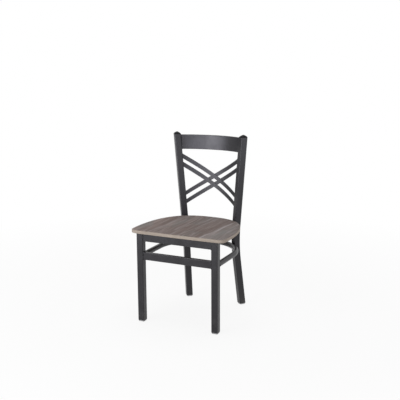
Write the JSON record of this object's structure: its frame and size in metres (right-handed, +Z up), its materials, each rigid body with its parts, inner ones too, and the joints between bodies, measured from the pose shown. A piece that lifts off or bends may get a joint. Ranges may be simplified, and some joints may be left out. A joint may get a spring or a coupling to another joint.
{
  "type": "cross back chair",
  "caption": "Dining chair with a welded square-tube steel frame, a horseshoe stretcher, crossed flat back bars under a curved crest rail, and a D-shaped wooden seat.",
  "frame": {"origin": "on the floor, under the middle of the chair's outer box", "axes": "+Z up, the chair faces -Y, +X is to the right as seen from the front"},
  "size_m": [0.4774, 0.4547, 0.86],
  "materials": {
    "frame_coating": "satin dark powder coating",
    "cap_plastic": "moulded, half gloss",
    "glide_plastic": "moulded, matt",
    "seat_wood": "grey-brown stain under matt lacquer",
    "screw_steel": "zinc plated"
  },
  "bodies": {
    "root": {"front_leg_left": "frame_coating", "front_leg_right": "frame_coating", "back_post_left": "frame_coating", "back_post_right": "frame_coating", "front_apron": "frame_coating", "front_stretcher": "frame_coating", "stretcher_ring": "frame_coating", "seat_ring": "frame_coating", "crest_rail": "frame_coating", "cross_bar_falling_upper": "frame_coating", "cross_bar_falling_lower": "frame_coating", "cross_bar_rising_upper": "frame_coating", "cross_bar_rising_lower": "frame_coating", "seat_tab_front_left": "frame_coating", "seat_tab_front_right": "frame_coating", "seat_tab_rear_left": "frame_coating", "seat_tab_rear_right": "frame_coating", "post_cap_left": "cap_plastic", "post_cap_right": "cap_plastic", "glide_front_left": "glide_plastic", "glide_front_right": "glide_plastic", "glide_rear_left": "glide_plastic", "glide_rear_right": "glide_plastic", "seat_board": "seat_wood", "seat_screws": "screw_steel"}
  },
  "joints": []
}
